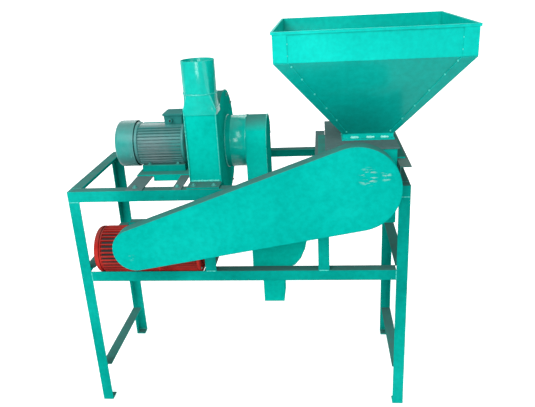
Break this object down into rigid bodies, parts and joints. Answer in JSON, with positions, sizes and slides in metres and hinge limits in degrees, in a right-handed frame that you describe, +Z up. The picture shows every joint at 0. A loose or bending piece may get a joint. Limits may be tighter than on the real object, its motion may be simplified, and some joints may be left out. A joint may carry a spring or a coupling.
{
  "type": "hammer mill",
  "caption": "Hopper-fed, belt-driven hammer mill with an aspirating fan, suction duct and grain spout on an open angle-iron frame.",
  "frame": {"origin": "centre of the whole object's bounding box in X and Y, at floor level under the feet", "axes": "+Z up, +X along the frame from the fan motor's end to the hopper's end, -Y out of the side with the belt guard"},
  "size_m": [1.386, 0.679, 1.417],
  "materials": {
    "frame_paint": "gloss teal green paint",
    "worn_paint": "dusty, worn green paint",
    "sheet_paint": "gloss teal green paint on sheet",
    "red_paint": "dull red paint",
    "motor_paint": "grey green paint",
    "belt_rubber": "matt black",
    "iron": "cast and machined",
    "steel": "machined steel"
  },
  "bodies": {
    "frame_and_casings": {"belt_guard": "sheet_paint", "drive_belt": "belt_rubber", "fan_bearer_left": "worn_paint", "fan_bearer_right": "worn_paint", "fan_inlet_drum": "sheet_paint", "fan_motor_base": "sheet_paint", "fan_motor_body": "motor_paint", "fan_motor_cowl": "motor_paint", "fan_outlet_pipe": "sheet_paint", "fan_scroll": "sheet_paint", "fan_terminal_box": "motor_paint", "gear_case": "red_paint", "grain_spout": "sheet_paint", "hopper": "sheet_paint", "leg_back_left": "frame_paint", "leg_back_right": "frame_paint", "leg_front_left": "frame_paint", "leg_front_right": "frame_paint", "low_brace_left": "frame_paint", "low_brace_right": "frame_paint", "main_motor_body": "red_paint", "main_motor_cowl": "red_paint", "main_motor_plate": "sheet_paint", "mid_rail_back": "frame_paint", "mid_rail_front": "frame_paint", "mid_rail_left": "frame_paint", "mid_rail_right": "frame_paint", "mill_bearer_left": "worn_paint", "mill_bearer_right": "worn_paint", "mill_housing": "sheet_paint", "mill_screen": "steel", "mill_top_plate": "worn_paint", "motor_cross_bearer": "worn_paint", "post_front_left": "frame_paint", "post_front_right": "frame_paint", "separator_chamber": "sheet_paint", "shaft_bearing_back": "iron", "shaft_bearing_front": "iron", "suction_duct": "sheet_paint", "top_rail_back": "frame_paint", "top_rail_front": "frame_paint", "top_rail_left": "frame_paint", "top_rail_right": "frame_paint"},
    "mill_rotor": {"mill_shaft": "steel", "rotor_discs": "iron", "driven_pulley": "iron", "hammer_pin_bottom": "steel", "hammer_pin_left": "steel", "hammer_pin_right": "steel", "hammer_pin_top": "steel"},
    "gear_output": {"gear_output_shaft": "steel", "drive_pulley": "iron"},
    "main_motor_rotor": {"main_motor_shaft": "steel"},
    "fan_rotor": {"fan_motor_shaft": "steel", "fan_impeller": "iron"},
    "hammer_right_body": {"hammer_right": "iron"},
    "hammer_top_body": {"hammer_top": "iron"},
    "hammer_left_body": {"hammer_left": "iron"},
    "hammer_bottom_body": {"hammer_bottom": "iron"}
  },
  "joints": [
    {"name": "mill_rotor_spin", "type": "hinge", "parent": "frame_and_casings", "child": "mill_rotor", "pos_m": [0.337, 0.0045, 0.922], "axis": [0, 1, 0], "continuous": true},
    {"name": "gear_output_spin", "type": "hinge", "parent": "frame_and_casings", "child": "gear_output", "pos_m": [-0.443, -0.2125, 0.6983], "axis": [0, 1, 0], "continuous": true},
    {"name": "main_motor_spin", "type": "hinge", "parent": "frame_and_casings", "child": "main_motor_rotor", "pos_m": [-0.513, -0.1885, 0.648], "axis": [1, 0, 0], "continuous": true},
    {"name": "fan_spin", "type": "hinge", "parent": "frame_and_casings", "child": "fan_rotor", "pos_m": [-0.293, 0.0045, 1.004], "axis": [1, 0, 0], "continuous": true},
    {"name": "hammer_right_swing", "type": "hinge", "parent": "mill_rotor", "child": "hammer_right_body", "pos_m": [0.383, 0.0035, 0.922], "axis": [0, 1, 0], "range_deg": [-90, 90]},
    {"name": "hammer_top_swing", "type": "hinge", "parent": "mill_rotor", "child": "hammer_top_body", "pos_m": [0.337, 0.0035, 0.968], "axis": [0, 1, 0], "range_deg": [-90, 90]},
    {"name": "hammer_left_swing", "type": "hinge", "parent": "mill_rotor", "child": "hammer_left_body", "pos_m": [0.291, 0.0035, 0.922], "axis": [0, 1, 0], "range_deg": [-90, 90]},
    {"name": "hammer_bottom_swing", "type": "hinge", "parent": "mill_rotor", "child": "hammer_bottom_body", "pos_m": [0.337, 0.0035, 0.876], "axis": [0, 1, 0], "range_deg": [-90, 90]}
  ],
  "couplings": [
    {"joint": "gear_output_spin", "follows": "mill_rotor_spin", "ratio": 2.1111},
    {"joint": "main_motor_spin", "follows": "mill_rotor_spin", "ratio": 2.1111}
  ]
}
